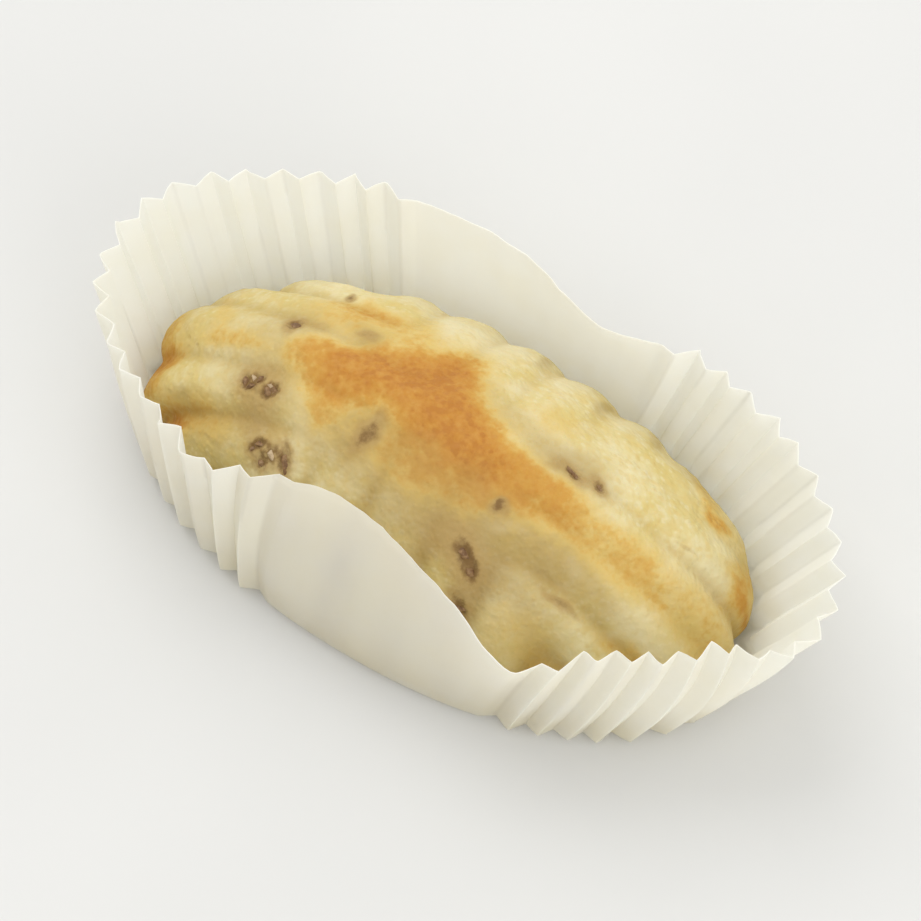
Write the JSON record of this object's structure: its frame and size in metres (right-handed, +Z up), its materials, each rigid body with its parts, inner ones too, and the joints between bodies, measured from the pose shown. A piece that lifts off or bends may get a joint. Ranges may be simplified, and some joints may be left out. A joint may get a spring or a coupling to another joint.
{
  "type": "maamoul cookie",
  "caption": "Moulded oval maamoul cookie with ribbed dome and scalloped rim, resting in a pleated oval white paper case.",
  "frame": {"origin": "centre of the part's box, on the surface it stands on", "axes": "+X along the cookie towards its narrower tip, +Y towards the side where the case flares, +Z up"},
  "size_m": [0.0772, 0.0376, 0.0206],
  "materials": {
    "dough": "baked pale yellow semolina dough, golden brown along the crest, matt and sandy",
    "paper": "thin white greaseproof paper, matt, slightly see-through"
  },
  "bodies": {
    "root": {"cookie": "dough", "paper_case": "paper"}
  },
  "joints": []
}
